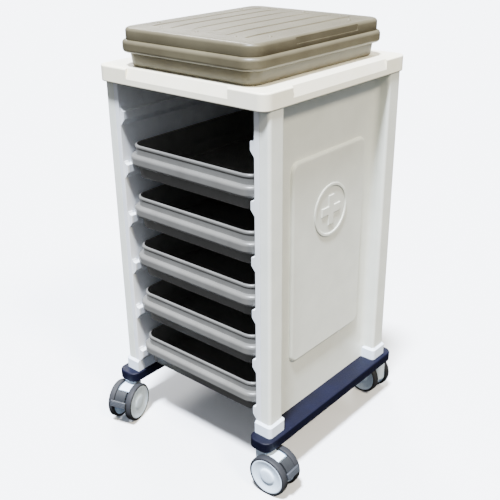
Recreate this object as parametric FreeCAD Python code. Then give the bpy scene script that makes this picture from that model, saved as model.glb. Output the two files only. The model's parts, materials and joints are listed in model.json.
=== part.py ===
import FreeCAD, Part
import os

# Tray cart for a hospital ward: a plastic cabinet on four twin-wheel casters, five sliding trays,
# and a lidded tray on the worktop. Millimetres, +Z up, floor at z = 0, front towards -Y.

# cabinet
rail_bottom = 105.0
rail_top = 131.0
cabinet_height = 800.0
top_thickness = 37.0
top_half_x = 243.5
top_half_y = 258.7
top_corner = 22.0

# side walls, given for the right-hand one
post_outer_x = 240.6
post_front_y = 241.7
post_depth = 47.0
recess_x = 206.3
panel_inner_x = 203.0
wall_inner_x = 200.0
seam_x = 214.0
skin = 3.5
field_height = 7.5

# feet
foot_height = 32.0
foot_lip = 5.3

# rails
rail_outer_x = 257.3
rail_inner_x = 195.0
rail_half_y = 270.0
rail_corner = 22.0

# tray runners
runner_levels = 6
runner_first_z = 194.0
runner_pitch = 126.6
runner_edge_x = 188.0
runner_front_y = -239.0
runner_rear_y = 234.0
runner_face = 19.0
runner_height = 34.0

# trays
tray_centre_y = -4.0
tray_half_x = 198.0
tray_half_y = 236.0
tray_corner = 40.0
flange_height = 27.0
collar_height = 23.0
collar_inset = 10.0
tub_depth = 31.0
tub_inset = 14.0
tub_taper = 4.5
tray_count = 5
top_tray_x = 10.0
top_tray_y = -13.0

# lid
lid_inset = 7.0
lid_height = 29.0
lid_wall = 2.5

# casters
stem_x = 227.0
stem_y = 245.0
caster_trail = 30.0
wheel_r = 50.0
tread_width = 17.0
wheel_inner_y = 17.3
hub_r = 43.8
hood_r = 45.0
hood_half = 16.0
axle_r = 5.0
stem_r = 6.0
tread_inner_r = 51.8

top_z = rail_top + cabinet_height
under_z = top_z - top_thickness
V = FreeCAD.Vector
origin = V(0, 0, 0)
up = V(0, 0, 1)

os.makedirs("parts", exist_ok=True)


def save(name, shape):
    shape.exportStep("parts/" + name + ".step")


def box(x0, x1, y0, y1, z0, z1):
    return Part.makeBox(x1 - x0, y1 - y0, z1 - z0, V(x0, y0, z0))


def mirror_x(shape):
    return shape.mirror(origin, V(1, 0, 0))


def edges_where(shape, test):
    return [e for e in shape.Edges if test(e.BoundBox)]


def vertical(b):
    return b.XLength < 0.01 and b.YLength < 0.01 and b.ZLength > 5


def at_height(shape, z):
    return edges_where(shape, lambda b: abs(b.ZMin - z) < 0.01 and abs(b.ZMax - z) < 0.01)


def rounded_outline(half_x, half_y, corner, z):
    plate = box(-half_x, half_x, -half_y, half_y, z, z + 1)
    plate = plate.makeFillet(corner, edges_where(plate, lambda b: b.ZLength > 0.9))
    bottom = [f for f in plate.Faces if f.BoundBox.ZMax < z + 0.01]
    return bottom[0].OuterWire


def rounded_plate(half_x, half_y, corner, z0, z1):
    face = Part.Face(rounded_outline(half_x, half_y, corner, z0))
    return face.extrude(V(0, 0, z1 - z0))


def tapered(half_x, half_y, corner, z0, grow, z1):
    low = rounded_outline(half_x, half_y, corner, z0)
    high = rounded_outline(half_x + grow, half_y + grow, corner + grow, z1)
    return Part.makeLoft([low, high], True, True)


def polygon_along_y(points, y0, y1):
    wire = Part.makePolygon([V(x, y0, z) for x, z in points + points[:1]])
    return Part.Face(wire).extrude(V(0, y1 - y0, 0))


def polygon_along_z(points, z0, z1):
    wire = Part.makePolygon([V(x, y, z0) for x, y in points + points[:1]])
    return Part.Face(wire).extrude(V(0, 0, z1 - z0))


def spun(points, axis):
    """Turn a profile of (radius, distance along Y) about the Y axis."""
    wire = Part.makePolygon([V(r, y, 0) for r, y in points + points[:1]])
    return Part.Face(wire).revolve(origin, axis, 360)


# ---- worktop ----

def grip_wedge(half_length, inset, depth):
    """A shallow slanted grip along one edge, made on an edge that runs along X at y = 0."""
    section = [(-inset, 0.0), (2.0, -depth - depth * 2.0 / inset), (2.0, 6.0), (-inset, 6.0)]
    wire = Part.makePolygon([V(-half_length, y, z) for y, z in section + section[:1]])
    return Part.Face(wire).extrude(V(2 * half_length, 0, 0))


def worktop():
    top = rounded_plate(top_half_x, top_half_y, top_corner, under_z, top_z)
    top = top.makeFillet(4.0, at_height(top, top_z))
    top = top.makeFillet(3.0, at_height(top, under_z))
    front = grip_wedge(148.0, 7.5, 22.5)
    rear = front.copy()
    rear.translate(V(0, top_half_y, top_z))
    front.rotate(origin, up, 180)
    front.translate(V(0, -top_half_y, top_z))
    right = grip_wedge(172.0, 5.5, 22.5)
    left = right.copy()
    right.rotate(origin, up, -90)
    right.translate(V(top_half_x, 0, top_z))
    left.rotate(origin, up, 90)
    left.translate(V(-top_half_x, 0, top_z))
    top = top.cut(front).cut(rear).cut(right).cut(left)
    hollow = box(-234, 234, -246, 246, under_z + 4, top_z - 4)
    hollow = hollow.makeFillet(14.0, edges_where(hollow, vertical))
    return top.cut(hollow)


# ---- side walls ----

def foot_zone():
    zones = []
    for side in (-1, 1):
        y = sorted((side * 260.0, side * (post_front_y - post_depth - foot_lip)))
        zones.append(box(190, 260, y[0], y[1], rail_top - 1, rail_top + foot_height))
    return zones[0].fuse(zones[1])


def ring_and_plus():
    """A plain round sign with a plus inside it, standing on the raised field."""
    x = recess_x + field_height - 0.5
    centre = V(x, 12, 612)
    out = V(1, 0, 0)
    ring = Part.makeCylinder(64, 3, centre, out).cut(Part.makeCylinder(57, 3, centre, out))
    tall = box(x, x + 3, 12 - 10, 12 + 10, 612 - 36, 612 + 36)
    wide = box(x, x + 3, 12 - 36, 12 + 36, 612 - 10, 612 + 10)
    plus = tall.fuse(wide).removeSplitter()
    sign = []
    for shape in (ring, plus):
        sign.append(shape.makeFillet(1.4, edges_where(shape, lambda b: b.XMin > x + 2.9)))
    return sign[0].fuse(sign[1])


def raised_field():
    top = recess_x + field_height
    field = box(recess_x - 1, top, -130, 150, 262, 756)
    corners = edges_where(field, lambda b: b.XLength > 3.9)
    field = field.makeFillet(22.0, corners)
    rim = edges_where(field, lambda b: b.XMin > top - 0.1)
    return field.makeFillet(field_height - 0.2, rim)


def outer_shell():
    f = post_front_y
    r = post_front_y - post_depth
    outline = [
        (seam_x, -f), (post_outer_x, -f), (post_outer_x, -r), (recess_x, -r),
        (recess_x, r), (post_outer_x, r), (post_outer_x, f), (seam_x, f),
        (seam_x, f - skin), (post_outer_x - skin, f - skin), (post_outer_x - skin, r + skin),
        (panel_inner_x, r + skin), (panel_inner_x, -r - skin), (post_outer_x - skin, -r - skin),
        (post_outer_x - skin, -f + skin), (seam_x, -f + skin),
    ]
    shell = polygon_along_z(outline, rail_top, under_z)

    def edge_at(x, y):
        return edges_where(shell, lambda b: vertical(b) and abs(b.XMin - x) < 0.1
                           and abs(abs(b.YMin) - y) < 0.1)

    outside = edge_at(post_outer_x, f) + edge_at(post_outer_x, r)
    shell = shell.makeFillet(7.0, outside)
    hidden = edge_at(post_outer_x - skin, f - skin) + edge_at(post_outer_x - skin, r + skin)
    shell = shell.makeFillet(3.5, hidden)
    shell = shell.makeFillet(12.0, edge_at(recess_x, r))
    shell = shell.makeFillet(15.0, edge_at(panel_inner_x, r + skin))
    shell = shell.makeFillet(1.5, edge_at(seam_x, f))
    shell = shell.fuse(raised_field()).fuse(ring_and_plus()).removeSplitter()
    shell = shell.cut(foot_zone())
    for z in screw_heights():
        shell = shell.cut(Part.makeCylinder(2, 20, V(222, f - 10, z), V(0, 1, 0)))
    return shell


def inner_liner():
    f = post_front_y
    end_x = seam_x - 0.3
    outline = [
        (wall_inner_x, -f), (end_x, -f), (end_x, -f + skin), (panel_inner_x, -f + skin),
        (panel_inner_x, f - skin), (end_x, f - skin), (end_x, f), (wall_inner_x, f),
    ]
    liner = polygon_along_z(outline, rail_top, under_z)
    soft = edges_where(liner, lambda b: vertical(b) and abs(abs(b.YMin) - f) < 0.1)
    liner = liner.makeFillet(1.5, soft)
    return liner.cut(foot_zone())


def ledge_z(level):
    return runner_first_z + runner_pitch * level


def runner(z):
    section = [
        (wall_inner_x, z), (runner_edge_x, z),
        (runner_edge_x, z - runner_face), (wall_inner_x, z - runner_height),
    ]
    bar = polygon_along_y(section, runner_front_y, runner_rear_y)
    nose = edges_where(bar, lambda b: b.YLength > 100 and abs(b.XMax - runner_edge_x) < 0.1)
    bar = bar.makeFillet(1.5, nose)
    stop = [(193.7, z - 1), (193.7, z), (197.3, z + 3), (198.6, z + 6.5), (wall_inner_x, z + 6.5),
            (wall_inner_x, z - 1)]
    return bar.fuse(polygon_along_y(stop, runner_front_y, runner_front_y + 12)).removeSplitter()


def runners():
    return Part.makeCompound([runner(ledge_z(level)) for level in range(runner_levels)])


# ---- back ----

def screw_heights():
    return [220.0, 420.0, 640.0, 840.0]


def back_panel():
    y = post_front_y
    panel = box(-232, 232, y, y + 4, rail_top + foot_height + 3, under_z - 3)
    corners = edges_where(panel, lambda b: b.YLength > 3.9 and b.XLength < 0.1 and b.ZLength < 0.1)
    panel = panel.makeFillet(10.0, corners)
    field = box(-165, 165, y + 3, y + 7, 240, 820)
    field = field.makeFillet(24.0, edges_where(field, lambda b: b.YLength > 3.9))
    field = field.makeChamfer(2.9, edges_where(field, lambda b: b.YMin > y + 6.9))
    panel = panel.fuse(field).cut(box(-161, 161, y - 1, y + 3, 244, 816)).removeSplitter()
    for side in (-1, 1):
        for z in screw_heights():
            panel = panel.cut(Part.makeCylinder(2, 20, V(side * 222, y - 5, z), V(0, 1, 0)))
    return panel


def back_screws():
    y = post_front_y
    screws = []
    for side in (-1, 1):
        for z in screw_heights():
            shank = Part.makeCylinder(2, 8, V(side * 222, y - 4, z), V(0, 1, 0))
            head = Part.makeCylinder(4.5, 2.6, V(side * 222, y + 4, z), V(0, 1, 0))
            head = head.makeFillet(1.2, edges_where(head, lambda b: b.YMin > y + 6.5))
            socket = Part.makeCylinder(1.6, 1.5, V(side * 222, y + 5.2, z), V(0, 1, 0))
            screws.append(shank.fuse(head).cut(socket))
    return Part.makeCompound(screws)


# ---- base ----

def foot():
    f = post_front_y + foot_lip
    r = post_front_y - post_depth - foot_lip
    top = rail_top + foot_height
    block = box(wall_inner_x, post_outer_x + foot_lip, -f, -r, rail_top, top)
    outer = edges_where(block, lambda b: vertical(b) and b.XMin > 230)
    block = block.makeFillet(9.0, outer)
    bevel = [e for e in at_height(block, top) if e.BoundBox.XMax > wall_inner_x + 0.1]
    block = block.makeChamfer(foot_lip - 0.3, bevel)
    return block.cut(Part.makeCylinder(4, 27, V(218, -212, rail_top), up))


def rail():
    bar = box(rail_inner_x, rail_outer_x, -rail_half_y, rail_half_y, rail_bottom, rail_top)
    bar = bar.makeFillet(rail_corner, edges_where(bar, vertical))
    bar = bar.makeFillet(3.5, at_height(bar, rail_top))
    bar = bar.makeFillet(3.5, at_height(bar, rail_bottom))
    for side in (-1, 1):
        stem_hole = Part.makeCylinder(stem_r, 24, V(stem_x, side * stem_y, rail_bottom), up)
        shank = Part.makeCylinder(4, 40, V(218, side * 212, rail_bottom - 5), up)
        head = Part.makeCylinder(7, 8, V(218, side * 212, rail_bottom), up)
        bar = bar.cut(stem_hole).cut(shank).cut(head)
    return bar


def foot_bolts():
    bolts = []
    for x in (-218, 218):
        for y in (-212, 212):
            head = Part.makeCylinder(6.5, 6, V(x, y, rail_bottom + 2), up)
            shank = Part.makeCylinder(4, 44, V(x, y, rail_bottom + 7), up)
            socket = Part.makeCylinder(2.5, 3, V(x, y, rail_bottom + 2), up)
            bolts.append(head.fuse(shank).removeSplitter().cut(socket))
    return Part.makeCompound(bolts)


def rear_member():
    x = rail_inner_x
    tube = box(-x, x, 212, 256, rail_bottom + 2, rail_top - 2)
    tube = tube.makeFillet(3.0, edges_where(tube, lambda b: b.XLength > 100))
    return tube.cut(box(-x - 1, x + 1, 215, 253, rail_bottom + 5, rail_top - 5))


# ---- trays ----

def tray():
    """A tray with its flange's underside at z = 0 and its centre on the Z axis."""
    flange = rounded_plate(tray_half_x, tray_half_y, tray_corner, 0, flange_height)
    flange = flange.makeFillet(8.0, at_height(flange, 0))
    flange = flange.makeFillet(8.0, at_height(flange, flange_height))
    inset = collar_inset
    collar = rounded_plate(tray_half_x - inset - 1.5, tray_half_y - inset - 1.5, 30.0,
                           flange_height - 1, flange_height + collar_height - 5)
    lip = rounded_plate(tray_half_x - inset, tray_half_y - inset, 31.5,
                        flange_height + collar_height - 7, flange_height + collar_height)
    lip = lip.makeFillet(4.0, at_height(lip, flange_height + collar_height))
    lip = lip.makeFillet(1.2, at_height(lip, flange_height + collar_height - 7))
    foot_x = tray_half_x - tub_inset - tub_taper
    foot_y = tray_half_y - tub_inset - tub_taper
    tub = tapered(foot_x, foot_y, 26.5, -tub_depth, tub_taper, 1.0)
    tub = tub.makeFillet(7.0, at_height(tub, -tub_depth))
    solid = flange.fuse(collar).fuse(lip).fuse(tub).removeSplitter()
    low = tapered(foot_x - 3, foot_y - 3, 23.5, -tub_depth + 3, tub_taper, 0.0)
    low = low.makeFillet(6.0, at_height(low, -tub_depth + 3))
    high = tapered(foot_x + tub_taper - 3, foot_y + tub_taper - 3, 28.0, 0.0, 3.5,
                   flange_height + collar_height + 1)
    return solid.cut(low).cut(high)


def tray_at_level(level):
    shape = tray()
    shape.translate(V(0, tray_centre_y, ledge_z(level)))
    return shape


def top_tray():
    shape = tray()
    shape.translate(V(top_tray_x, top_tray_y, top_z + tub_depth))
    return shape


def lid():
    half_x = tray_half_x - lid_inset
    half_y = tray_half_y - lid_inset
    outer = rounded_plate(half_x, half_y, 33.0, 0, lid_height - 3)
    outer = outer.makeFillet(9.0, at_height(outer, lid_height - 3))
    crown = tapered(half_x - 24, half_y - 24, 20.0, lid_height - 3.1, -16.0, lid_height)
    shell = outer.fuse(crown).removeSplitter()
    for x in (-120, -72, -24, 24, 72, 120):
        groove = Part.makeCylinder(9, 330, V(x, -165, lid_height + 7.6), V(0, 1, 0))
        shell = shell.cut(groove)
    inner = rounded_plate(half_x - lid_wall, half_y - lid_wall, 30.5, -1, lid_height - 3 - lid_wall)
    inner = inner.makeFillet(4.5, at_height(inner, lid_height - 3 - lid_wall))
    shell = shell.cut(inner)
    grip = Part.makeCylinder(60, 110, V(half_x + 58.6, -105, 9.5), V(0, 1, 0))
    shell = shell.cut(grip.common(box(half_x - 20, half_x + 5, -105, 5, 3, 16)))
    shell.translate(V(top_tray_x, top_tray_y, top_z + tub_depth + flange_height))
    return shell


# ---- casters: local frame has the swivel axis at the origin, trailing towards +X ----

def sector(r0, r1, start, end, half_width):
    """A slice of a ring about the wheel axle, angles in degrees above the trailing direction."""
    ring = Part.makeCylinder(r1, 2 * half_width, V(0, 0, -half_width), up, end - start)
    ring = ring.cut(Part.makeCylinder(r0, 2 * half_width, V(0, 0, -half_width), up))
    ring.rotate(origin, up, start)
    ring.rotate(origin, V(1, 0, 0), 90)
    ring.translate(V(caster_trail, 0, wheel_r))
    return ring


def along_axle(r, y0, y1):
    return Part.makeCylinder(r, y1 - y0, V(caster_trail, y0, wheel_r), V(0, 1, 0))


def stem():
    pin = Part.makeCylinder(stem_r, 67, V(0, 0, 62), up)
    collar = Part.makeCylinder(14, 1.5, V(0, 0, rail_bottom - 1.5), up)
    return pin.fuse(collar).removeSplitter()


def hood():
    body = along_axle(hood_r, -hood_half, hood_half)
    body = body.makeFillet(3.0, edges_where(body, lambda b: b.XLength > 50))
    neck = box(-20, 14, -hood_half, hood_half, 48, 103)
    neck = neck.makeFillet(13.0, edges_where(neck, lambda b: vertical(b) and b.XMin < 0))
    neck = neck.makeFillet(2.0, at_height(neck, 103))
    bridge = box(0, 30, -hood_half + 1, hood_half - 1, 50, 94)
    body = body.fuse(neck).fuse(bridge).removeSplitter()
    body = body.cut(along_axle(axle_r, -30, 30))
    body = body.cut(Part.makeCylinder(stem_r + 0.05, 60, V(0, 0, 61.5), up))
    body = body.cut(sector(14, 60, 192, 352, 20))
    body = body.cut(sector(36.4, 60, -9, 63.5, 20))
    body = body.cut(sector(4, 37.5, 3, 55, 3.6))
    return body.cut(along_axle(11.6, -3.6, 3.6))


def axle():
    return along_axle(axle_r, -30, 30)


def tyre(side):
    y0 = wheel_inner_y
    y1 = wheel_inner_y + tread_width
    ring = along_axle(wheel_r, y0, y1)
    ring = ring.makeFillet(4.5, edges_where(ring, lambda b: b.YMin > y1 - 0.1))
    ring = ring.makeFillet(2.5, edges_where(ring, lambda b: b.YMax < y0 + 0.1))
    ring = ring.cut(along_axle(hub_r, y0 - 1, y1 + 1))
    return ring if side > 0 else ring.mirror(origin, V(0, 1, 0))


def hub(side):
    y = wheel_inner_y + 0.5
    profile = [
        (axle_r + 0.05, y), (hub_r, y), (hub_r, y + 15.2), (42.6, y + 16.4), (40.0, y + 16.2),
        (24.0, y + 13.2), (19.5, y + 15.0), (17.0, y + 16.2), (9.0, y + 17.0), (0.0, y + 17.2),
        (0.0, y + 13.0), (axle_r + 0.05, y + 13.0),
    ]
    shape = spun(profile, V(0, 1, 0))
    shape.translate(V(caster_trail, 0, wheel_r))
    return shape if side > 0 else shape.mirror(origin, V(0, 1, 0))


def brake_pedal():
    ring = along_axle(11, -3, 3)
    arm = sector(5, 38, 18, 50, 3)
    block = sector(37, 50.5, 13, 60, 14.3)
    block = block.makeFillet(5.0, edges_where(block, lambda b: b.YLength > 28 and b.ZMax > 90))
    toe = sector(45, tread_inner_r - 0.1, 10, 28, 14.3)
    pedal = ring.fuse(arm).fuse(block).fuse(toe).removeSplitter()
    return pedal.cut(along_axle(axle_r + 0.06, -20, 20))


def pedal_tread():
    tread = sector(tread_inner_r, 59, 10, 27, 22)
    return tread.makeFillet(2.5, edges_where(tread, lambda b: b.YLength > 40))


casters = {
    "front_right": (stem_x, -stem_y, 2.8),
    "front_left": (-stem_x, -stem_y, -72.9),
    "rear_right": (stem_x, stem_y, 175.0),
    "rear_left": (-stem_x, stem_y, 135.0),
}


def placed(shape, corner):
    x, y, angle = casters[corner]
    shape = shape.copy()
    shape.rotate(origin, up, angle)
    shape.translate(V(x, y, 0))
    return shape


def make_casters():
    for corner in casters:
        tag = "caster_" + corner
        save(tag + "_stem", placed(stem(), corner))
        save(tag + "_hood", placed(hood(), corner))
        save(tag + "_axle", placed(axle(), corner))
        save(tag + "_tyre_a", placed(tyre(1), corner))
        save(tag + "_tyre_b", placed(tyre(-1), corner))
        save(tag + "_hub_a", placed(hub(1), corner))
        save(tag + "_hub_b", placed(hub(-1), corner))
        save(tag + "_pedal", placed(brake_pedal(), corner))
        save(tag + "_tread", placed(pedal_tread(), corner))


def make_cabinet():
    right_shell = outer_shell()
    right_liner = inner_liner()
    right_runners = runners()
    right_rail = rail()
    front_foot = foot()
    rear_foot = front_foot.mirror(origin, V(0, 1, 0))
    save("worktop", worktop())
    save("right_shell", right_shell)
    save("left_shell", mirror_x(right_shell))
    save("right_liner", right_liner)
    save("left_liner", mirror_x(right_liner))
    save("right_runners", right_runners)
    save("left_runners", mirror_x(right_runners))
    save("back_panel", back_panel())
    save("back_screws", back_screws())
    save("right_rail", right_rail)
    save("left_rail", mirror_x(right_rail))
    save("rear_member", rear_member())
    save("foot_front_right", front_foot)
    save("foot_front_left", mirror_x(front_foot))
    save("foot_rear_right", rear_foot)
    save("foot_rear_left", mirror_x(rear_foot))
    save("foot_bolts", foot_bolts())


def make_trays():
    for level in range(tray_count):
        save("tray_" + str(level + 1), tray_at_level(level))
    save("top_tray", top_tray())
    save("tray_lid", lid())


make_cabinet()
make_trays()
make_casters()
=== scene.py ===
# %% [markdown]
# # A ward tray cart
# This lesson finishes a hospital tray cart: a white plastic cabinet on four braked twin-wheel
# casters, with five grey trays that slide, and a lidded tray on top. The engineering model is
# loaded first and gives every place and size. The steps after it add the camera, the room, the
# finishes and the pieces that need a softer shape than the engineering model has.

# %% Load the engineering model
import bpy
import json
import math
from mathutils import Matrix, Vector


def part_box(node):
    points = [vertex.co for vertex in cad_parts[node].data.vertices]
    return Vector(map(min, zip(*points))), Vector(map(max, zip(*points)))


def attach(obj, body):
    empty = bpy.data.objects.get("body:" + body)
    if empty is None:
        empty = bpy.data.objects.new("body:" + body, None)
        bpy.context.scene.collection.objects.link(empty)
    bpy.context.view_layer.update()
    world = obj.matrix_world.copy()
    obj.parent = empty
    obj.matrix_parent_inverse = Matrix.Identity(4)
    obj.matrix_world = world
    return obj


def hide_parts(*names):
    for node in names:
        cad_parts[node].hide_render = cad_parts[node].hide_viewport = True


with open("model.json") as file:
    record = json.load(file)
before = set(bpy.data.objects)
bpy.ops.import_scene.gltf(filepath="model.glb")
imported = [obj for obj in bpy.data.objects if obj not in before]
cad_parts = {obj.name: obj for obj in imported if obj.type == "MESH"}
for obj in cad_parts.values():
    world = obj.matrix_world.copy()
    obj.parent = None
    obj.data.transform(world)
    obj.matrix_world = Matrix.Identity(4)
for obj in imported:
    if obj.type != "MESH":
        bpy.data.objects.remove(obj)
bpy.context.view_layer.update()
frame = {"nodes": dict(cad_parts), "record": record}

nodes = frame["nodes"]

# %% [markdown]
# ## Where the viewer stands
# A product picture of furniture is often taken from a little above it, turned so that the front
# and one side both show. The camera stands in front of the right-hand corner and looks down by
# about 25 degrees. Its place, turn and lens are written down as numbers, because they belong to
# the room and not to the cart. The two shifts slide the picture a little on the sensor.

# %% Camera
camera_place = Vector((1.162, -1.373, 1.267))
turn = math.radians(40.71)
tilt = math.radians(24.58)
lean = math.radians(-0.68)
camera_data = bpy.data.cameras.new("viewer")
camera_data.sensor_width = 36.0
camera_data.lens = 56.2
camera_data.shift_x = -0.0012
camera_data.shift_y = 0.0064
camera = bpy.data.objects.new("viewer", camera_data)
bpy.context.scene.collection.objects.link(camera)
camera.matrix_world = (
    Matrix.Translation(camera_place)
    @ Matrix.Rotation(turn, 4, "Z")
    @ Matrix.Rotation(math.radians(90) - tilt, 4, "X")
    @ Matrix.Rotation(lean, 4, "Z")
)
bpy.context.scene.camera = camera
print("camera", [round(v, 2) for v in camera_place], "lens", camera_data.lens)

# %% [markdown]
# ## Two helpers for finishes
# Colours are written down as sRGB hex values, as paint charts give them, but shaders work in
# linear light, so one function converts them. A finish is a small network of shader nodes, and
# one function adds a node with its settings and links. Blender measures in metres and the cart's
# details are in millimetres, so MM turns one into the other.


# %% Colour and node helpers
MM = 0.001


def linear(hex_colour):
    """Give the linear colour for six sRGB hex digits."""
    channels = [int(hex_colour[i:i + 2], 16) / 255 for i in (0, 2, 4)]
    curve = [c / 12.92 if c <= 0.04045 else ((c + 0.055) / 1.055) ** 2.4 for c in channels]
    return (*curve, 1.0)


def add_node(tree, kind, values=None, links=None, **settings):
    """Add one shader node, with its settings, its input values and the outputs linked to it."""
    node = tree.nodes.new(kind)
    for name, setting in settings.items():
        setattr(node, name, setting)
    for name, value in (values or {}).items():
        node.inputs[name].default_value = value
    for name, output in (links or {}).items():
        tree.links.new(output, node.inputs[name])
    return node


print("middle grey in linear light:", [round(v, 3) for v in linear("808080")])

# %% [markdown]
# ## Moulded plastic
# Nearly all of the cart is moulded thermoplastic. A mould is etched or spark-eroded, so the
# surface has a fine grain, and the melt cools unevenly, which leaves faint clouds in the tone.
# Three noise patterns give that: one for the grain, one for the clouds, and one that is stretched
# upwards and varies the gloss, for the hairline scuffs that cleaning leaves. The grain's size and
# depth are given in millimetres, and the other two patterns are counted per metre.

# %% Moulded plastic finish
clouds_per_metre = 14.0
scuffs_per_metre = 260.0
scuff_squeeze = (1.0, 1.0, 0.12)


def moulded_plastic(name, colour, shade, rough, grain_mm, grain_depth_mm, scuff=0.04, ior=1.5):
    """Make a moulded plastic: colour and shade are the light and dark tones of its clouds."""
    material = bpy.data.materials.new(name)
    material.use_nodes = True
    tree = material.node_tree
    shader = tree.nodes["Principled BSDF"]
    shader.inputs["IOR"].default_value = ior
    place = add_node(tree, "ShaderNodeTexCoord").outputs["Object"]
    clouds = add_node(tree, "ShaderNodeTexNoise",
                      {"Scale": clouds_per_metre, "Detail": 4.0, "Roughness": 0.6},
                      {"Vector": place})
    blend = add_node(tree, "ShaderNodeValToRGB", links={"Fac": clouds.outputs["Fac"]})
    blend.color_ramp.elements[0].position = 0.35
    blend.color_ramp.elements[0].color = linear(shade)
    blend.color_ramp.elements[1].position = 0.65
    blend.color_ramp.elements[1].color = linear(colour)
    tree.links.new(blend.outputs["Color"], shader.inputs["Base Color"])
    stretch = add_node(tree, "ShaderNodeMapping", {"Scale": scuff_squeeze}, {"Vector": place})
    scuffs = add_node(tree, "ShaderNodeTexNoise", {"Scale": scuffs_per_metre, "Detail": 3.0},
                      {"Vector": stretch.outputs["Vector"]})
    gloss = add_node(tree, "ShaderNodeMapRange",
                     {"From Min": 0.3, "From Max": 0.7, "To Min": rough - scuff,
                      "To Max": rough + scuff}, {"Value": scuffs.outputs["Fac"]})
    tree.links.new(gloss.outputs["Result"], shader.inputs["Roughness"])
    grain = add_node(tree, "ShaderNodeTexNoise", {"Scale": 1000.0 / grain_mm, "Detail": 2.0},
                     {"Vector": place})
    bump = add_node(tree, "ShaderNodeBump",
                    {"Strength": 1.0, "Distance": grain_depth_mm / 1000.0},
                    {"Height": grain.outputs["Fac"]})
    tree.links.new(bump.outputs["Normal"], shader.inputs["Normal"])
    return material


# %% [markdown]
# ## The cart's plastics
# The walls and worktop are white ABS (a tough styrene plastic) with a satin grain. The worktop is
# a warmer white than the walls, the feet are a brighter and cooler one, and the inner liners are
# cool and duller. The back panel is given a charcoal grey, which is painted shade: it darkens the
# depth of the cabinet behind the trays. The trays are grey polypropylene, and the tray on top with
# its lid is a warmer grey. The base rails are navy ABS with a coarse spark-eroded grain that hides
# knocks. Caster hoods and wheel caps are smooth white nylon, the pedals are dark grey nylon, and
# their treads are nylon too, a little lighter and shinier. The tyres are soft rubber and have the
# roughest surface of all.
#
# The lid's grey, the navy, the pedal's grey and the rubber get a lower index of refraction than
# such materials have. It weakens their sheen, which would otherwise veil a dark colour.

# %% Plastic and rubber finishes
shell_white = moulded_plastic("satin_white_abs", "E8EBE2", "E0E3DA", 0.40, 1.6, 0.05)
foot_white = moulded_plastic("bright_white_abs", "E8F2FF", "E0EAF8", 0.38, 1.6, 0.05)
top_white = moulded_plastic("warm_white_abs", "FFFAE6", "FBF5DC", 0.36, 1.6, 0.04)
liner_white = moulded_plastic("cool_white_abs", "E6E9ED", "DCDFE4", 0.45, 1.6, 0.05)
tray_grey = moulded_plastic("grey_polypropylene", "676663", "5E5D5A", 0.34, 1.2, 0.05)
lid_grey = moulded_plastic("warm_grey_polypropylene", "5B5543", "524C3B", 0.40, 1.4, 0.06,
                          ior=1.42)
rail_navy = moulded_plastic("spark_eroded_navy_abs", "05071D", "040515", 0.55, 2.4, 0.35, 0.08,
                            ior=1.28)
caster_white = moulded_plastic("smooth_white_nylon", "E0F0FF", "D6E8FA", 0.28, 3.0, 0.02)
pedal_grey = moulded_plastic("dark_grey_nylon", "2A2C2F", "222427", 0.48, 1.2, 0.08,
                             ior=1.4)
# The treads get a lighter and shinier grey than the pedals' blocks.
lighter_tread_grey = moulded_plastic("lighter_grey_nylon", "3A3D43", "33363B", 0.42, 1.2, 0.06)
tyre_rubber = moulded_plastic("soft_grey_rubber", "2C2D30", "25262A", 0.60, 0.9, 0.10, 0.06,
                              ior=1.32)
# The back panel's charcoal is painted shade for the dark depth of the cabinet behind the trays.
painted_shade_back = moulded_plastic("charcoal_painted_shade", "3A3B3D", "333436", 0.45, 1.6, 0.06)
print("plastics:", [m.name for m in bpy.data.materials])

# %% [markdown]
# ## Zinc-plated steel
# The stems, axles, screws and bolts are turned steel with a thin bright zinc coat. Turning leaves
# fine rings, which spread the highlight. One noise pattern is squeezed into thin level bands,
# which run round the upright stems, and gives both their height and their uneven gloss.

# %% Steel finish
bands_per_metre = 900.0
band_stretch = (0.2, 0.2, 1.0)


def plated_steel(name):
    """Make zinc-plated turned steel."""
    material = bpy.data.materials.new(name)
    material.use_nodes = True
    tree = material.node_tree
    shader = tree.nodes["Principled BSDF"]
    shader.inputs["Metallic"].default_value = 1.0
    shader.inputs["Base Color"].default_value = linear("C9CBCD")
    place = add_node(tree, "ShaderNodeTexCoord").outputs["Object"]
    rings = add_node(tree, "ShaderNodeMapping", {"Scale": band_stretch}, {"Vector": place})
    streaks = add_node(tree, "ShaderNodeTexNoise", {"Scale": bands_per_metre, "Detail": 2.0},
                       {"Vector": rings.outputs["Vector"]})
    gloss = add_node(tree, "ShaderNodeMapRange", {"To Min": 0.24, "To Max": 0.40},
                     {"Value": streaks.outputs["Fac"]})
    tree.links.new(gloss.outputs["Result"], shader.inputs["Roughness"])
    bump = add_node(tree, "ShaderNodeBump", {"Distance": 0.04 * MM},
                    {"Height": streaks.outputs["Fac"]})
    tree.links.new(bump.outputs["Normal"], shader.inputs["Normal"])
    return material


zinc_steel = plated_steel("zinc_plated_steel")
print("made", zinc_steel.name)

# %% [markdown]
# ## Dressing the engineering model
# Each solid of the engineering model already has the right size and place, so it only needs its
# finish. The key words below are looked for in each node's name, from the first to the last. So
# the bolts come before the feet, and the top tray comes before the other trays.

# %% Finishes for every node
finishes = {
    "screws": zinc_steel,
    "bolts": zinc_steel,
    "worktop": top_white,
    "shell": shell_white,
    "liner": liner_white,
    "runners": liner_white,
    "back_panel": painted_shade_back,
    "foot": foot_white,
    "rail": rail_navy,
    "rear_member": rail_navy,
    "top_tray": lid_grey,
    "tray_lid": lid_grey,
    "tray": tray_grey,
    "stem": zinc_steel,
    "axle": zinc_steel,
    "hood": caster_white,
    "hub": caster_white,
    "tyre": tyre_rubber,
    "pedal": pedal_grey,
    "tread": pedal_grey,
}


def finish_for(name):
    """Find the finish of the first key word that is in the node's name."""
    return finishes[next(word for word in finishes if word in name)]


for name, node in nodes.items():
    node.data.materials.clear()
    node.data.materials.append(finish_for(name))
print("finished", len(nodes), "nodes")

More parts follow.
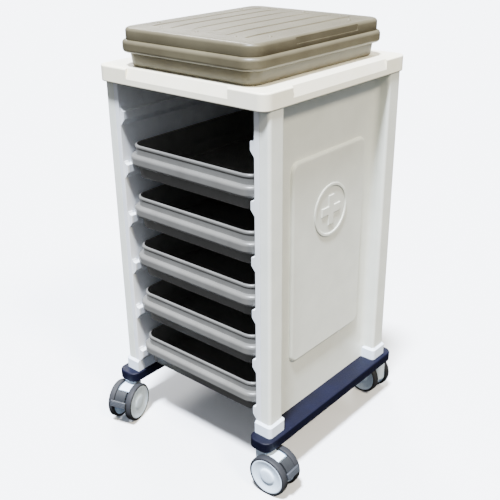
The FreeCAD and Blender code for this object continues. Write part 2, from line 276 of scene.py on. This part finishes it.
# %% [markdown]
# ## Five helpers for modelling
# The pieces that follow are modelled as by hand: a primitive is added, some of its faces or edges
# are picked, and an edit-mode tool changes them. An operator acts on all that is selected, so one
# function starts a piece with nothing else selected, and two pick faces and edges by a test. One
# more cleans a finished piece, and the last puts a copy of it in its place.


# %% Modelling helpers
def start_piece(name, add, **sizes):
    """Add a primitive as a new piece with nothing else selected, and open it for editing."""
    bpy.ops.object.select_all(action="DESELECT")
    add(**sizes)
    piece = bpy.context.object
    piece.name = name
    piece.data.name = name
    bpy.ops.object.transform_apply(location=True, rotation=True, scale=True)
    bpy.ops.object.mode_set(mode="EDIT")
    return piece


def pick_faces(piece, test):
    """Select the faces whose centre and normal pass a test."""
    bpy.ops.mesh.select_mode(type="FACE")
    bpy.ops.mesh.select_all(action="DESELECT")
    bpy.ops.object.mode_set(mode="OBJECT")
    for face in piece.data.polygons:
        face.select = bool(test(face.center, face.normal))
    bpy.ops.object.mode_set(mode="EDIT")


def pick_edges(piece, test):
    """Select the edges whose two end points pass a test."""
    bpy.ops.mesh.select_mode(type="EDGE")
    bpy.ops.mesh.select_all(action="DESELECT")
    bpy.ops.object.mode_set(mode="OBJECT")
    points = piece.data.vertices
    for edge in piece.data.edges:
        edge.select = bool(test(points[edge.vertices[0]].co, points[edge.vertices[1]].co))
    bpy.ops.object.mode_set(mode="EDIT")


def finish_piece(piece, material, angle=35.0):
    """Close the edit, face all outwards, smooth the soft turns and give the finish."""
    bpy.ops.mesh.select_all(action="SELECT")
    bpy.ops.mesh.remove_doubles(threshold=0.00001)
    bpy.ops.mesh.normals_make_consistent(inside=False)
    bpy.ops.object.mode_set(mode="OBJECT")
    bpy.ops.object.shade_smooth_by_angle(angle=math.radians(angle))
    piece.data.materials.clear()
    piece.data.materials.append(material)
    return piece


def placed_copy(pattern, name, matrix):
    """Copy a finished piece with its own mesh, and put its place into that mesh."""
    piece = pattern.copy()
    piece.data = pattern.data.copy()
    piece.name = name
    piece.data.name = name
    bpy.context.scene.collection.objects.link(piece)
    bpy.ops.object.select_all(action="DESELECT")
    piece.select_set(True)
    bpy.context.view_layer.objects.active = piece
    piece.matrix_world = matrix
    bpy.ops.object.transform_apply(location=True, rotation=True, scale=True)
    return piece


print("helpers ready, one millimetre is", MM, "metres")

# %% [markdown]
# ## The places of the wheels
# Each caster has two wheels on one axle, side by side, and trails behind its stem. The record's
# joints say where each axle is and which way it points. They give one matrix for each caster: its
# X axis trails away from the stem, its Y axis is the axle, and its origin is the axle's middle.

# %% Caster frames
joints = {joint["name"]: joint for joint in frame["record"]["behaviour"]["joints"]}
corners = ["front_right", "front_left", "rear_right", "rear_left"]
caster_frames = {}
for corner in corners:
    centre = Vector(joints["wheel_" + corner + "_a"]["pos_m"])
    axle = Vector(joints["wheel_" + corner + "_a"]["axis"]).normalized()
    upward = Vector((0.0, 0.0, 1.0))
    trailing = axle.cross(upward)
    turned = Matrix((trailing, axle, upward)).transposed().to_4x4()
    caster_frames[corner] = Matrix.Translation(centre) @ turned
    print(corner, "axle middle", [round(v, 3) for v in centre])

tyre_low, tyre_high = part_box("caster_front_right_tyre_a")
tyre_radius = (tyre_high[2] - tyre_low[2]) / 2
hub_low, hub_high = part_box("caster_front_right_hub_a")
cap_radius = (hub_high[2] - hub_low[2]) / 2
print("tyre radius", round(tyre_radius, 4), "cap radius", round(cap_radius, 4))

# %% [markdown]
# ## The tyres
# A ward caster's tyre is a band of soft grey rubber moulded on to the wheel. Its outer shoulder is
# well rounded and its inner one less, and a small bevel meets the cap. A cylinder is the start:
# both ends are inset, the inner faces deleted and the two loops bridged, which leaves a ring.
# Then each kind of edge gets its own bevel. The wheel's axle is the Z axis until it is placed.

# %% One tyre
tyre_width = 17.0 * MM
wheel_gap = 17.3 * MM
outer_shoulder = 5.0 * MM
inner_shoulder = 2.5 * MM
cap_edge = 1.0 * MM
band = tyre_radius - cap_radius
tyre = start_piece("tyre_pattern", bpy.ops.mesh.primitive_cylinder_add, vertices=96,
                   radius=tyre_radius, depth=tyre_width,
                   location=(0.0, 0.0, wheel_gap + tyre_width / 2))
pick_faces(tyre, lambda centre, normal: abs(normal.z) > 0.9)
bpy.ops.mesh.inset(thickness=band)
bpy.ops.mesh.delete(type="FACE")
pick_edges(tyre, lambda a, b: max(a.xy.length, b.xy.length) < cap_radius + 0.5 * MM)
bpy.ops.mesh.bridge_edge_loops()


def ring_edge(a, b, radius, height):
    """Tell whether an edge runs round the axle at a radius and a height."""
    on_radius = abs(a.xy.length - radius) < 0.3 * MM and abs(b.xy.length - radius) < 0.3 * MM
    return on_radius and abs(a.z - height) < 0.1 * MM and abs(b.z - height) < 0.1 * MM


outside = wheel_gap + tyre_width
pick_edges(tyre, lambda a, b: ring_edge(a, b, tyre_radius, outside))
bpy.ops.mesh.bevel(offset=outer_shoulder, segments=6)
pick_edges(tyre, lambda a, b: ring_edge(a, b, tyre_radius, wheel_gap))
bpy.ops.mesh.bevel(offset=inner_shoulder, segments=4)
pick_edges(tyre, lambda a, b: ring_edge(a, b, cap_radius, outside))
bpy.ops.mesh.bevel(offset=cap_edge, segments=2)
finish_piece(tyre, tyre_rubber)
print("tyre faces:", len(tyre.data.polygons))

# %% [markdown]
# ## The wheel caps
# Each wheel's outer face is one smooth white nylon dish that keeps threads out of the axle. It has
# a rounded lip, falls gently to a ring, and rises again to a domed boss over the axle's end. A
# cylinder's end face is inset again and again, each time with a small rise or fall, which draws
# the dish's curve in rings.

# %% One cap
cap_body = 15.2 * MM
cap_play = 0.15 * MM
cap_inset = 0.5 * MM
cap = start_piece("cap_pattern", bpy.ops.mesh.primitive_cylinder_add, vertices=96,
                  radius=cap_radius - cap_play, depth=cap_body,
                  location=(0.0, 0.0, wheel_gap + cap_inset + cap_body / 2))
pick_faces(cap, lambda centre, normal: normal.z > 0.9)
dish_steps = [(0.5, 0.55), (0.7, 0.35), (1.0, 0.1), (1.2, -0.2), (2.0, -0.5), (3.5, -0.95),
              (4.0, -0.95), (4.0, -0.65), (3.5, -0.3), (2.2, 0.0), (0.7, 0.35), (0.9, 1.0),
              (0.9, 1.0), (1.2, 0.7), (2.0, 0.45), (3.5, 0.35), (4.5, 0.15)]
for step_in, step_up in dish_steps:
    bpy.ops.mesh.inset(thickness=step_in * MM, depth=step_up * MM)
finish_piece(cap, caster_white, 50.0)
print("cap faces:", len(cap.data.polygons))

# %% Tyres and caps on all the wheels
for corner in corners:
    for mark, side in (("a", -90.0), ("b", 90.0)):
        outward = caster_frames[corner] @ Matrix.Rotation(math.radians(side), 4, "X")
        tag = "caster_" + corner
        body = "wheel_" + corner + "_" + mark
        for pattern, kind, node, slot in ((tyre, "tread_ring", "tyre", "grey_rubber"),
                                          (cap, "wheel_cap", "hub", "white_caster")):
            piece = placed_copy(pattern, tag + "_" + kind + "_" + mark, outward)
            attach(piece, body)
            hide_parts(tag + "_" + node + "_" + mark)
for pattern in (tyre, cap):
    bpy.data.objects.remove(pattern)
print("wheels dressed:", 2 * len(corners))

# %% [markdown]
# ## The brake pedals
# A pedal sits between the two wheels and is pressed by foot. Its block keeps the engineering
# model's shape. Its tread reaches over the inner edges of both tyres, with raised ribs that stop a
# shoe slipping. The tread is a slice of a ring about the axle, so a flat section is spun part of a
# turn. The frame here is a caster's own: X trails, Y is the axle, Z is up, and the origin is the
# axle's middle.


# %% Ring slices
def ring_slice(name, radii, half_width, start, end, steps):
    """Spin a flat section about the Y axis from one angle to another, in degrees above X."""
    middle = (radii[0] + radii[1]) / 2 * MM
    piece = start_piece(name, bpy.ops.mesh.primitive_plane_add, size=1.0)
    bpy.ops.transform.resize(value=((radii[1] - radii[0]) * MM, 2 * half_width * MM, 1.0))
    bpy.ops.transform.translate(value=(middle, 0.0, 0.0))
    bpy.ops.object.mode_set(mode="OBJECT")
    piece.rotation_euler = (0.0, math.radians(-start), 0.0)
    bpy.ops.object.transform_apply(location=True, rotation=True, scale=True)
    bpy.ops.object.mode_set(mode="EDIT")
    bpy.ops.mesh.select_all(action="SELECT")
    bpy.ops.mesh.spin(steps=steps, angle=math.radians(end - start), center=(0.0, 0.0, 0.0),
                      axis=(0.0, 1.0, 0.0))
    bpy.ops.mesh.select_all(action="SELECT")
    bpy.ops.mesh.remove_doubles(threshold=0.00001)
    bpy.ops.mesh.normals_make_consistent(inside=False)
    return piece


def around(point):
    """Give a point's angle above the trailing direction, in degrees."""
    return math.degrees(math.atan2(point.z, point.x))


def out_from_axle(point):
    """Give a point's distance from the axle."""
    return math.hypot(point.x, point.z)


tread_radii = (51.8, 58.2)
tread_half_width = 22.0
tread_start = 10.0
tread_end = 27.0
tread_steps = 9
tread = ring_slice("tread_pattern", tread_radii, tread_half_width, tread_start, tread_end,
                   tread_steps)
bpy.ops.mesh.select_mode(type="EDGE")
bpy.ops.mesh.select_all(action="DESELECT")
bpy.ops.mesh.edges_select_sharp(sharpness=math.radians(50))
tread_rounding = 2.2 * MM
bpy.ops.mesh.bevel(offset=tread_rounding, segments=4)
bpy.ops.object.mode_set(mode="OBJECT")
angles = [around(v.co) for v in tread.data.vertices]
print("tread spans", round(min(angles), 1), "to", round(max(angles), 1), "degrees")
bpy.ops.object.mode_set(mode="EDIT")

# %% Ribs and the four treads
step_degrees = (tread_end - tread_start) / tread_steps
rib_zone = 57.5 * MM
rib_taper = 0.25 * MM
rib_height = 0.7 * MM


def is_rib(centre, normal):
    """Tell whether a face lies on the tread's outer side, in every second step of the spin."""
    facing = (normal.x * centre.x + normal.z * centre.z) / out_from_axle(centre)
    step = int((around(centre) - tread_start) / step_degrees)
    return facing > 0.97 and out_from_axle(centre) > rib_zone and step % 2 == 1


pick_faces(tread, is_rib)
bpy.ops.mesh.inset(thickness=rib_taper, depth=rib_height, use_individual=True)
finish_piece(tread, lighter_tread_grey, 40.0)
for corner in corners:
    piece = placed_copy(tread, "caster_" + corner + "_ribbed_tread", caster_frames[corner])
    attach(piece, "pedal_" + corner)
    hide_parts("caster_" + corner + "_tread")
bpy.data.objects.remove(tread)
print("treads placed:", len(corners))

# %% [markdown]
# ## The lid
# The lid is a shallow polypropylene cap with wide soft corners. Its top has a low rim, a field
# that dips just inside it and crowns towards the middle so that water runs off, and six long
# grooves that stiffen it. It starts as a cube: the upright edges are bevelled for the corners and
# the top ones for the soft rim. Insets draw the dip inside the rim, and rings that are extruded
# upwards and shrunk draw the crown. A small bevel round the lower edge leaves a dark line above
# the tray's lip.
#
# The grooves, and a shallow flat for the fingers on one side, are cut while the shape is still
# closed. Only then is the bottom face deleted, and Solidify gives the wall, which so follows each
# groove instead of being cut through by it.

# %% Lid shape
corner_radius = 36.0 * MM
rim_radius = 7.5 * MM
lower_edge = 1.8 * MM
crown_height = 3.6 * MM
lid_low, lid_high = (Vector(corner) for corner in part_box("tray_lid"))
lid_middle = (lid_low + lid_high) / 2
lid_size = lid_high - lid_low
rim_height = lid_size.z - crown_height
rim_top = lid_low.z + rim_height
lid = start_piece("lid_shell", bpy.ops.mesh.primitive_cube_add, size=1.0,
                  location=(lid_middle.x, lid_middle.y, lid_low.z + rim_height / 2),
                  scale=(lid_size.x, lid_size.y, rim_height))
pick_edges(lid, lambda a, b: abs(a.z - b.z) > 10 * MM)
bpy.ops.mesh.bevel(offset=corner_radius, segments=14)
pick_edges(lid, lambda a, b: min(a.z, b.z) > rim_top - 0.1 * MM)
bpy.ops.mesh.bevel(offset=rim_radius, segments=7)


def is_lid_top(centre, normal):
    """Tell whether a face is the one in the middle of the lid's top."""
    return normal.z > 0.9 and (centre.xy - lid_middle.xy).length < 5 * MM


pick_faces(lid, is_lid_top)
dip_steps = ((3.0, 0.0), (1.2, -0.2), (1.6, -0.3), (1.6, -0.1))
for step_in, step_up in dip_steps:
    bpy.ops.mesh.inset(thickness=step_in * MM, depth=step_up * MM)
crown_steps = ((0.90, 1.3), (0.87, 1.2), (0.84, 0.9), (0.79, 0.6), (0.7, 0.2))
for shrink, step_up in crown_steps:
    bpy.ops.mesh.extrude_region_move(TRANSFORM_OT_translate={"value": (0.0, 0.0, step_up * MM)})
    bpy.ops.transform.resize(value=(shrink, shrink, 1.0), center_override=lid_middle)
pick_edges(lid, lambda a, b: max(a.z, b.z) < lid_low.z + 0.1 * MM)
bpy.ops.mesh.bevel(offset=lower_edge, segments=3)
finish_piece(lid, lid_grey, 30.0)
print("lid top at", round(max(v.co.z for v in lid.data.vertices), 4))

# %% Grooves and the finger flat
groove_radius = 5.5 * MM
groove_spacing = 52.4 * MM
groove_ends = 96 * MM
first_groove = lid_middle.x - 131 * MM
flat_place = (lid_high.x + 8.4 * MM, lid_middle.y + 14 * MM, lid_low.z + 21 * MM)
flat_size = (20 * MM, 222 * MM, 24 * MM)
cutter = start_piece("groove_cutter", bpy.ops.mesh.primitive_cylinder_add, vertices=40,
                     radius=groove_radius, depth=lid_size.y - groove_ends,
                     rotation=(math.radians(90), 0.0, 0.0),
                     location=(first_groove, lid_middle.y, rim_top + 4.5 * MM))
bpy.ops.mesh.select_all(action="SELECT")
crown_rises = (1.2, 0.8, 0.0, -0.8, -1.2)
for rise in crown_rises:
    bpy.ops.mesh.duplicate()
    bpy.ops.transform.translate(value=(groove_spacing, 0.0, rise * MM))
bpy.ops.object.mode_set(mode="OBJECT")
flat = start_piece("finger_flat_cutter", bpy.ops.mesh.primitive_cube_add, size=1.0,
                   location=flat_place, scale=flat_size)
pick_edges(flat, lambda a, b: abs(a.y - b.y) < 1 * MM and abs(a.z - b.z) < 1 * MM)
bpy.ops.mesh.bevel(offset=3.0 * MM, segments=3)
bpy.ops.object.mode_set(mode="OBJECT")
for tool in (cutter, flat):
    cut = lid.modifiers.new("cut", "BOOLEAN")
    cut.operation = "DIFFERENCE"
    cut.object = tool
    bpy.context.view_layer.objects.active = lid
    bpy.ops.object.modifier_apply(modifier=cut.name)
    bpy.data.objects.remove(tool)
print("cuts made:", len(crown_rises) + 1, "grooves and one flat")

# %% Lid wall
wall_thickness = 1.8 * MM
bpy.ops.object.select_all(action="DESELECT")
lid.select_set(True)
bpy.ops.object.mode_set(mode="EDIT")
pick_faces(lid, lambda centre, normal: normal.z < -0.9 and centre.z < lid_low.z + 0.1 * MM)
bpy.ops.mesh.delete(type="FACE")
bpy.ops.object.mode_set(mode="OBJECT")
wall = lid.modifiers.new("wall", "SOLIDIFY")
wall.thickness = wall_thickness
wall.offset = -1.0
bpy.ops.object.modifier_apply(modifier=wall.name)
bpy.ops.object.shade_smooth_by_angle(angle=math.radians(28))
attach(lid, "tray_lid")
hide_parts("tray_lid")
print("lid faces:", len(lid.data.polygons))

# %% [markdown]
# ## Stacking nibs
# Low round nibs stand between the ends of the lid's grooves and outside the outer ones. They keep
# stacked lids from sticking together. Each is a flattened sphere, cut through its middle so that
# only the dome is left.

# %% Nibs
nib_spots = [(-105.0, -182.0), (0.0, -182.0), (105.0, -182.0), (158.0, -138.0), (-158.0, -138.0),
             (-105.0, 182.0), (0.0, 182.0), (105.0, 182.0), (158.0, 138.0), (-158.0, 138.0)]
nib_base = rim_top + 0.3 * MM
nib = start_piece("lid_nibs", bpy.ops.mesh.primitive_uv_sphere_add, segments=24, ring_count=12,
                  radius=5.0 * MM, scale=(1.0, 1.0, 0.5),
                  location=(lid_middle.x, lid_middle.y, nib_base))
bpy.ops.mesh.select_all(action="SELECT")
bpy.ops.mesh.bisect(plane_co=(0.0, 0.0, nib_base), plane_no=(0.0, 0.0, 1.0), use_fill=True,
                    clear_inner=True)
bpy.ops.mesh.select_all(action="SELECT")
bpy.ops.transform.translate(value=(nib_spots[0][0] * MM, nib_spots[0][1] * MM, 0.0))
for before, spot in zip(nib_spots, nib_spots[1:]):
    bpy.ops.mesh.duplicate()
    shift = ((spot[0] - before[0]) * MM, (spot[1] - before[1]) * MM, 0.0)
    bpy.ops.transform.translate(value=shift)
finish_piece(nib, lid_grey, 50.0)
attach(nib, "tray_lid")
print("nibs:", len(nib_spots))

# %% [markdown]
# ## The room
# A product studio has a pale floor that runs on without an edge. Three sun lamps light the cart,
# because a sun lights the whole floor evenly. The main one hangs high and a little in front, and
# it is steep, so it lights the tops and the lips of the trays and leaves the depth of the shelves
# dark. A weaker, warmer one on the right keeps the side wall from going grey, and the weakest
# comes from behind on the left. The wider a lamp's disc is, the softer are the edges of its
# shadows. The surround glows overhead and is nearly dark below, and only the camera sees it bright
# and pale. The floor is left out of bounced light and of reflections, so that hollows and
# undersides stay deep and dark plastics aren't veiled.

# %% Floor
bpy.ops.object.select_all(action="DESELECT")
bpy.ops.mesh.primitive_plane_add(size=60.0, location=(0.0, 0.0, 0.0))
floor = bpy.context.object
floor.name = "studio_floor"
floor_paper = bpy.data.materials.new("white_studio_paper")
floor_paper.use_nodes = True
paper_shader = floor_paper.node_tree.nodes["Principled BSDF"]
paper_shader.inputs["Base Color"].default_value = linear("F4F5F7")
paper_shader.inputs["Roughness"].default_value = 0.9
floor.data.materials.append(floor_paper)
floor.visible_diffuse = False
floor.visible_glossy = False
print("floor", floor.name)

# %% Surround
world = bpy.data.worlds.new("studio")
bpy.context.scene.world = world
world.use_nodes = True
sky = world.node_tree
direction = add_node(sky, "ShaderNodeTexCoord").outputs["Generated"]
height = add_node(sky, "ShaderNodeSeparateXYZ", links={"Vector": direction}).outputs["Z"]
glow = add_node(sky, "ShaderNodeMapRange",
                {"From Min": -0.25, "From Max": 0.35, "To Min": 0.12, "To Max": 0.75},
                {"Value": height})
background = sky.nodes["Background"]
background.inputs["Color"].default_value = linear("EEF2FA")
seen = add_node(sky, "ShaderNodeLightPath").outputs["Is Camera Ray"]
backdrop_strength = 6.0
brightness = add_node(sky, "ShaderNodeMix", {"B": backdrop_strength},
                      {"Factor": seen, "A": glow.outputs["Result"]})
sky.links.new(brightness.outputs["Result"], background.inputs["Strength"])
print("surround", world.name, "is seen at strength", backdrop_strength)


# %% Lamps
def sun_lamp(name, shines_from, strength, spread, colour):
    """Add a sun that shines from a direction, with a disc of spread degrees."""
    data = bpy.data.lights.new(name, "SUN")
    data.energy = strength
    data.angle = math.radians(spread)
    data.color = linear(colour)[:3]
    lamp = bpy.data.objects.new(name, data)
    bpy.context.scene.collection.objects.link(lamp)
    lamp.location = Vector(shines_from) * 3.0
    lamp.rotation_euler = (-Vector(shines_from)).to_track_quat("-Z", "Y").to_euler()
    return lamp


sun_lamp("front_light", (0.10, -0.30, 0.95), 21.0, 8.0, "ECF3FF")
sun_lamp("right_light", (0.66, -0.10, 0.75), 4.0, 12.0, "FFF3DA")
sun_lamp("back_light", (-0.62, 0.50, 0.60), 3.0, 20.0, "FFFFFF")
